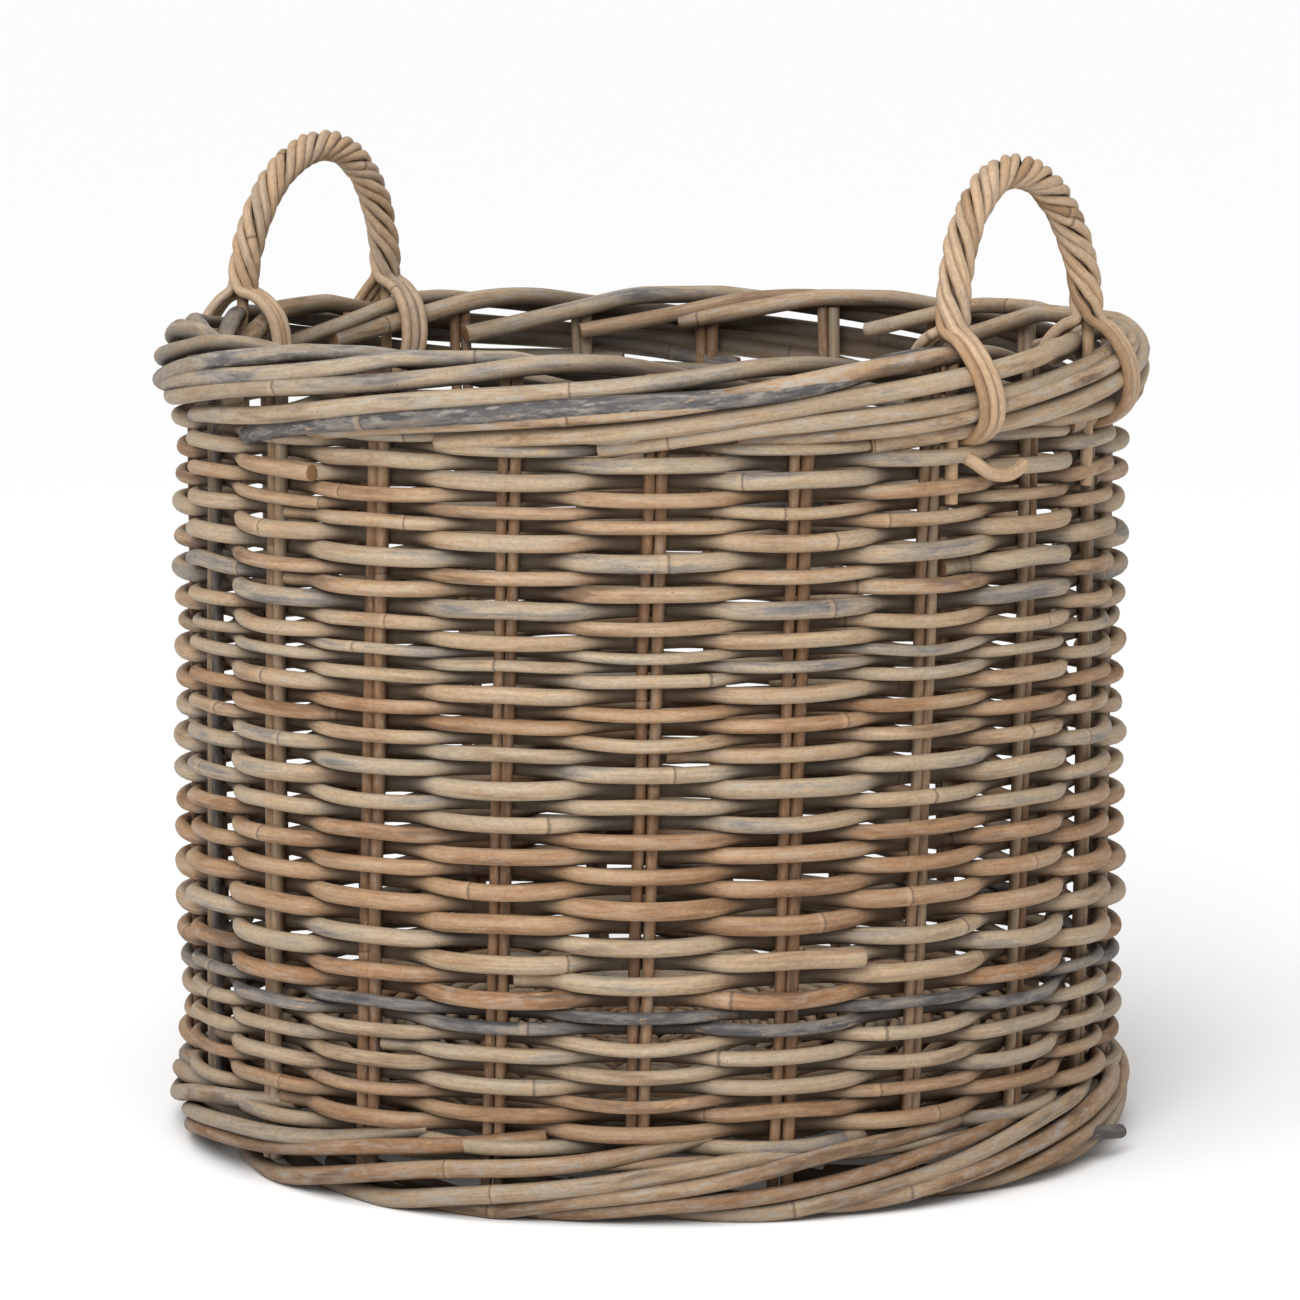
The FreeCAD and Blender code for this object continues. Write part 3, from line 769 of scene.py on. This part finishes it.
def rolled_border(roll, way, level, rod_radius, painted_light, browner):
    """Rods that start at every stake pair, run outside the wall over the ones before them, cross and end
    inside. Way is 1 or -1, the way round, and the roll's heights are counted from level."""
    bundle = Bundle(painted_light)
    keys = [place[0] for place in roll]
    shape = [place[1:] for place in roll]
    for number in range(STAKES):
        last = keys[-1] + rng.uniform(-0.3, 0.15)
        t = np.linspace(keys[0], last, round((last - keys[0]) * 18))
        sway = rng.normal(0, 1, (6, 2)) * (1.5, 2.3)
        out, rise = (eased(keys, shape, t) + eased(np.linspace(keys[0], last, 6), sway, t)).T * MM
        stretch = 1 + rng.uniform(-0.10, 0.10)
        turns = number + way * (t * stretch + rng.normal(0, 0.14))
        angle = turns * SPACING + twist(level)
        radius = rod_radius * rng.uniform(0.90, 1.10) * (1 + rng.uniform(-0.05, 0.05) * (t - 3) / 3)
        height = np.clip(level + rise, radius + 0.1 * MM, RIM_TOP - radius)
        path = around(angle, STAKE_CIRCLE + out, height)
        tone = bark_tone() + browner
        bundle.add(path, radius, tone, rng.uniform(0.4, 1.0), radial(angle), rng.uniform(0.24, 0.45))
    return bundle


def rim():
    """The rim's rods, which roll in over the top."""
    painted_light = roll_painted_shade(3 * MM, RIM_TOP - 25 * MM, 22 * MM, 26 * MM)
    rods = rolled_border(RIM_ROLL, 1, RIM_TOP, ROD_R, painted_light, -0.10)
    rods.build("rim_rods", border_cane, ["rim_border"], "border_cane")


def foot():
    """The foot's rods, and one charcoal end that sticks out of them."""
    painted_light = roll_painted_shade(0, 24 * MM, 17 * MM, 25 * MM)
    rods = rolled_border(FOOT_ROLL, -1, 0.0, FOOT_ROD_R, painted_light, 0.06)
    last = len(LOOSE_END) - 1
    angle, out, height = eased(np.arange(last + 1), LOOSE_END, np.linspace(0, last, 24)).T
    path = around(angle, STAKE_CIRCLE + out * MM, height * MM)
    rods.add(path, LOOSE_END_R, 0.0, 0.0, radial(angle))
    rods.build("foot_rods", border_cane, ["foot_border"], "border_cane")


rim()
foot()

# ---------------------------------------------------------------- base

# Sticks that cross each way, how far apart they lie there, half of their straight middle, and how far short
# of the base's edge they end.
PER_SIDE = 5
STICK_PITCH = 7.2 * MM
CROSS = 27 * MM
STICK_MARGIN = 5 * MM

# The spiral's first and last radius, where its thin centre ends, and the cane's radius in it and outside it.
SPIRAL_START = 31 * MM
SPIRAL_END = BASE_OUT - 3.4 * MM
CENTRE_OUT = 62 * MM
THIN, THICK = 2.0 * MM, 3.5 * MM

UP = np.array((0.0, 0.0, 1.0))


def base_painted_shade(points):
    """Painted shade: darker in the middle of the base's thickness."""
    return 0.25 + 0.75 * step(np.abs(points[:, 2] - BASE_MIDDLE), 1.0 * MM, 8.0 * MM)


def base_stick(side, place):
    """One stick across the base, straight where the sticks cross and bent into a spoke at each end."""
    level = (side - 0.5) * 2 * STICK_R * 1.03
    cos, sin = math.cos(side * math.pi / 2), math.sin(side * math.pi / 2)
    near = SPACING * (side * PER_SIDE + place)
    far = SPACING * (side * PER_SIDE + 2 * PER_SIDE - place)
    reach = BASE_OUT - STICK_MARGIN
    points = []
    for angle, sign in ((far, -1), (near, 1)):
        bend = (CROSS * sign, place * STICK_PITCH)
        outer = np.array((math.cos(angle), math.sin(angle)))
        run = [(*(outer * reach * share), level * max(0.0, 1 - 2.2 * share)) for share in (1.0, 0.6, 0.3)]
        run.append((bend[0] * cos - bend[1] * sin, bend[0] * sin + bend[1] * cos, level))
        points += run if sign == -1 else run[::-1]
    return smoothed(np.array(points), 90) + (0, 0, BASE_MIDDLE)


def base_sticks():
    """Five sticks each way, and one more spoke that makes the number odd."""
    sticks = Bundle(base_painted_shade, 12)
    for side in (0, 1):
        for place in range(-2, 3):
            path = base_stick(side, place)
            sticks.add(path, STICK_R, bark_tone(), rng.uniform(0.2, 0.7), np.tile(UP, (len(path), 1)))
    angle = SPACING * (4 * PER_SIDE - 2)
    away = np.linspace(CROSS * 1.25, BASE_OUT - STICK_MARGIN, 60)
    path = np.stack((np.cos(angle) * away, np.sin(angle) * away, np.full(60, BASE_MIDDLE)), -1)
    sticks.add(path, STICK_R, bark_tone(), 0.5, np.tile(UP, (60, 1)))
    nodes = ["base_sticks_lower", "base_sticks_upper", "base_stick_extra"]
    sticks.build("base_sticks", base_cane, nodes, "base_cane")


def spiral():
    """The spiral's radius at every spoke that it passes."""
    away, spokes = [SPIRAL_START], [0.0]
    while away[-1] < SPIRAL_END:
        share = (away[-1] - SPIRAL_START) / (SPIRAL_END - SPIRAL_START)
        cane_r = THIN + (THICK - THIN) * min(1.0, share * 2.5)
        away.append(away[-1] + 2.06 * cane_r / STAKES)
        spokes.append(spokes[-1] + 1.0)
    return spokes, away


def base_weave():
    """A spiral of spliced canes over one spoke and under the next, thin at first and then thicker."""
    spokes, radii = spiral()
    total = spokes[-1]
    thick_from = SPIRAL_START + 0.4 * (SPIRAL_END - SPIRAL_START)
    bundles = {"base_centre_weave": Bundle(base_painted_shade, 12), "base_weave": Bundle(base_painted_shade, 12)}
    start = 0.0
    while start < total - 1:
        end = min(total, start + (60 if start / total < 0.25 else rng.integers(26, 44)))
        g = np.linspace(start, end, round((end - start) * 10) + 1)
        away = np.interp(g, spokes, radii)
        thickness = np.interp(away, (SPIRAL_START, thick_from, SPIRAL_END), (THIN, THICK, THICK))
        wave = np.cos(math.pi * g)
        lift = wave * 1.25 / np.sqrt(wave**2 + 0.5625) * (STICK_R + thickness)
        path = around(SPACING * g, away, BASE_MIDDLE + lift)
        node = "base_centre_weave" if away.mean() < CENTRE_OUT else "base_weave"
        up = np.tile(UP, (len(g), 1))
        bundles[node].add(path, thickness * 0.97, bark_tone(), rng.uniform(0.2, 0.8), up, 0.15)
        start = end
    for node, bundle in bundles.items():
        bundle.build(node + "_canes", base_cane, [node], "base_cane")


base_sticks()
base_weave()

# ---------------------------------------------------------------- handles

STRANDS = 6
STRAND_R = 3.05 * MM
# A strand's distance from the rope's middle line, and the length of one twist on the legs and on the crown.
TWIST_R = 6.85 * MM
LEG_LEAD = 80 * MM
CROWN_LEAD = 58 * MM
# How far the crown leans to one side and back, and how far out on the rim the legs stand.
CROWN_LEAN = 6 * MM
CROWN_BACK = 2 * MM
LEG_OUT = 6 * MM
STRAND_STEP = 1.8 * MM
TIE_PITCH = 2.1 * STRAND_R

# Half of a handle's line: the share of the half span out from its middle, and the share of its height above
# the rim.
ARCH = [
    (1.0, 0.05),
    (0.995, 0.14),
    (0.975, 0.26),
    (0.93, 0.40),
    (0.85, 0.55),
    (0.72, 0.71),
    (0.52, 0.86),
    (0.27, 0.965),
]

# A strand's way over the rim and in under it: how far round from the leg, how spread from its neighbours,
# how far out from the stake circle and how high from the rim's top. All but the spread are millimetres.
OUTER_TIE = [
    (2.0, 0.98, 17.5, 2.0),
    (4.5, 1.00, 24.0, -7.0),
    (8.0, 1.00, 28.0, -18.0),
    (12.0, 1.00, 28.3, -31.0),
    (14.5, 0.94, 24.0, -43.0),
    (14.5, 0.76, 13.5, -51.5),
    (13.5, 0.50, 2.0, -54.5),
]

INNER_TIE = [
    (-1.0, 0.98, -6.5, 4.0),
    (-2.0, 1.00, -16.5, -6.5),
    (-2.5, 1.00, -20.5, -20.0),
    (-1.5, 0.95, -20.5, -34.0),
    (0.0, 0.80, -15.5, -45.0),
    (1.0, 0.60, -6.0, -53.0),
]

# A loose end on the wall: how far round from the leg, how far out and how high, in millimetres.
TAIL_LOOP = [(9, 4, -61), (11, 14, -65), (17, 17, -70), (27, 17.5, -73), (38, 17, -72), (47, 16, -68)]
TAIL_LOOP_R = 3.9 * MM


def arch():
    """The middle line of a rope on the +X side: up one leg, over and down the other."""
    rise = HANDLE_CROWN - RIM_TOP
    half = np.array(ARCH + [(0.0, 1.0)] + [(-share, height) for share, height in ARCH[::-1]])
    y = half[:, 0] * HANDLE_HALF - CROWN_LEAN * half[:, 1] ** 2
    x = HANDLE_X + LEG_OUT - CROWN_BACK * half[:, 1]
    return smoothed(np.stack((x, y, RIM_TOP + half[:, 1] * rise), -1), 170)


def tie_points(plan, slot):
    """A strand's places along a tie, with the leg at angle 0."""
    points = []
    for round_way, spread, out, rise in plan:
        radius = STAKE_CIRCLE + out * MM
        angle = (round_way * MM + slot * spread * TIE_PITCH) / radius
        points.append(around(np.array(angle), radius, RIM_TOP + rise * MM))
    return np.array(points)


def turned(points, angle):
    """Points turned about Z."""
    c, s = math.cos(angle), math.sin(angle)
    return points @ np.array(((c, s, 0), (-s, c, 0), (0, 0, 1)))


def rope_strands(centre):
    """Six lines twisted round the rope's middle line, tighter on the crown than on the legs."""
    along = distances(centre)
    tangents = unit(np.gradient(centre, axis=0))
    across = unit(np.array((1.0, 0.0, 0.0)) - tangents * tangents[:, :1])
    beside = np.cross(tangents, across)
    height = (centre[:, 2] - RIM_TOP) / (HANDLE_CROWN - RIM_TOP)
    rate = TURN / (LEG_LEAD + (CROWN_LEAD - LEG_LEAD) * step(height, 0.3, 0.95))
    spin = -np.concatenate(([0.0], np.cumsum((rate[1:] + rate[:-1]) / 2 * np.diff(along))))
    phase = rng.uniform(0, TURN)
    strands = []
    for number in range(STRANDS):
        angle = phase + number * TURN / STRANDS + spin + 0.12 * np.sin(along * 55 + number * 1.7)
        offset = np.cos(angle)[:, None] * across + np.sin(angle)[:, None] * beside
        strands.append(centre + offset * TWIST_R)
    return strands


def ties(strands, leg):
    """For each strand, its places on the tie at the rope's start and on the one at its end. At either leg
    the three outermost strands run down outside the rim, and the other three inside."""
    plans = [[None, None] for _ in strands]
    for end, at, leg_angle in ((0, 0, leg), (1, -1, -leg)):
        outward = np.array((math.cos(leg_angle), math.sin(leg_angle), 0.0))
        sideways = np.array((-outward[1], outward[0], 0.0))
        order = sorted(range(STRANDS), key=lambda n: -strands[n][at] @ outward)
        for group, plan in ((order[:3], OUTER_TIE), (order[3:], INNER_TIE)):
            for slot, number in zip((-1, 0, 1), sorted(group, key=lambda n: strands[n][at] @ sideways)):
                plans[number][end] = turned(tie_points(plan, slot), leg_angle)
    return plans


def handle(name, turn):
    """Six strands twisted round a stiff core, with both ends of every strand tied down over the rim."""
    centre = arch()
    strands = rope_strands(centre)
    leg = math.asin(HANDLE_HALF / STAKE_CIRCLE)

    def painted_light(points):
        """Painted shade: darker down between the strands."""
        local = turned(points, -turn)
        near = np.full(len(points), 1.0)
        for place in centre:
            near = np.minimum(near, np.linalg.norm(local - place, axis=1))
        return 0.30 + 0.70 * step(near, 0.40 * ROPE_R, 0.93 * ROPE_R)

    bundle = Bundle(painted_light, 12)
    for strand, (head, tail) in zip(strands, ties(strands, leg)):
        rope = strand[3:-3:3]
        points = np.concatenate((head[::-1], rope + rng.normal(0, 0.15 * MM, rope.shape), tail))
        path = turned(smoothed(points, round(distances(points)[-1] / STRAND_STEP)), turn)
        radius = STRAND_R * rng.uniform(0.93, 1.06)
        bundle.add(path, radius, rng.uniform(0.15, 0.95), rng.uniform(0.2, 0.9), None, rng.uniform(0.3, 0.5))
    tail_loop(bundle, turn - leg)
    nodes = [node for node in node_names if node.startswith(name) and not node.endswith("_core")]
    bundle.build(name + "_strands", handle_cane, nodes, "handle_cane")

    core = Bundle(painted_light, 12)
    feet = [centre[[at]] * (1, 1, 0) + (0, 0, core_low.z) for at in (0, -1)]
    line = smoothed(np.concatenate((feet[0], centre[::4], feet[1])), 180)
    core.add(turned(line, turn), CORE_R * 0.9, 0.4, 0.5)
    core.build(name + "_core_cane", handle_cane, [name + "_core"], "handle_cane")


def tail_loop(bundle, leg_angle):
    """The end of a tie's strand, turned out again on the wall below the rim and cut off."""
    places = np.array(TAIL_LOOP) * MM
    angle = leg_angle + places[:, 0] / STAKE_CIRCLE
    points = around(angle, STAKE_CIRCLE + places[:, 1], RIM_TOP + places[:, 2])
    bundle.add(smoothed(points, 30), TAIL_LOOP_R, 0.7, 0.4)


handle("handle_front", 0.0)
handle("handle_rear", math.pi)

# ---------------------------------------------------------------- floor, light and camera


FLOOR_HALF = 80.0
FLOOR_GREY = 0.90
WORLD_LIGHT = 0.62
LIT_POINT = (0, 0, 0.28)
SENSOR = 36
VIEW_AZIMUTH = math.radians(39)
VIEW_DISTANCE = 3.24
VIEW_HEIGHT = 0.72
VIEW_AIM = 0.285
VIEW_FOV = math.radians(13.6)


def floor():
    """A plain pale floor, wide enough to reach the horizon."""
    mesh = bpy.data.meshes.new("studio_floor")
    corners = [(x * FLOOR_HALF, y * FLOOR_HALF, 0) for x, y in ((-1, -1), (1, -1), (1, 1), (-1, 1))]
    mesh.from_pydata(corners, [], [(0, 1, 2, 3)])
    shader = Shader("studio_floor")
    shader.surface.inputs["Base Color"].default_value = (FLOOR_GREY, FLOOR_GREY, FLOOR_GREY, 1.0)
    shader.surface.inputs["Roughness"].default_value = 0.9
    shader.surface.inputs["Specular IOR Level"].default_value = 0.0
    mesh.materials.append(shader.material)
    piece = bpy.data.objects.new("studio_floor", mesh)
    bpy.context.scene.collection.objects.link(piece)


def from_camera(distance, sideways, height):
    """A place given as seen from the camera: how far towards it, how far to its right, and how high."""
    towards = Vector((math.sin(VIEW_AZIMUTH), -math.cos(VIEW_AZIMUTH), 0))
    right = Vector((math.cos(VIEW_AZIMUTH), math.sin(VIEW_AZIMUTH), 0))
    return towards * distance + right * sideways + Vector((0, 0, height))


def aimed(name, data, place, aim):
    """A light or a camera at a place, turned towards another."""
    thing = bpy.data.objects.new(name, data)
    thing.location = place
    thing.rotation_euler = (Vector(aim) - Vector(place)).to_track_quat("-Z", "Y").to_euler()
    bpy.context.scene.collection.objects.link(thing)
    return thing


def studio():
    """A pale floor, an even white surround, a wide soft light from above and a smaller one in front."""
    floor()
    world = bpy.data.worlds.new("studio")
    bpy.context.scene.world = world
    world.use_nodes = True
    background = world.node_tree.nodes["Background"]
    background.inputs["Color"].default_value = (1.0, 1.0, 1.0, 1.0)
    background.inputs["Strength"].default_value = WORLD_LIGHT
    overhead = bpy.data.lights.new("overhead", "SUN")
    overhead.angle = math.radians(60)
    overhead.energy = 1.7
    aimed("overhead", overhead, from_camera(1.6, -0.7, 3.2), LIT_POINT)
    front = bpy.data.lights.new("front", "AREA")
    front.shape = "DISK"
    front.size = 1.4
    front.energy = 42
    aimed("front", front, from_camera(2.6, -0.5, 1.7), LIT_POINT)
    bpy.context.scene.view_settings.view_transform = "Standard"


def camera():
    """The view: a little above the rim, to the side of the handles' line."""
    data = bpy.data.cameras.new("camera")
    data.sensor_width = SENSOR
    data.lens = SENSOR / 2 / math.tan(VIEW_FOV / 2)
    data.clip_start = 0.05
    place = from_camera(VIEW_DISTANCE, 0, VIEW_HEIGHT)
    bpy.context.scene.camera = aimed("camera", data, place, (0, 0, VIEW_AIM))


studio()
camera()
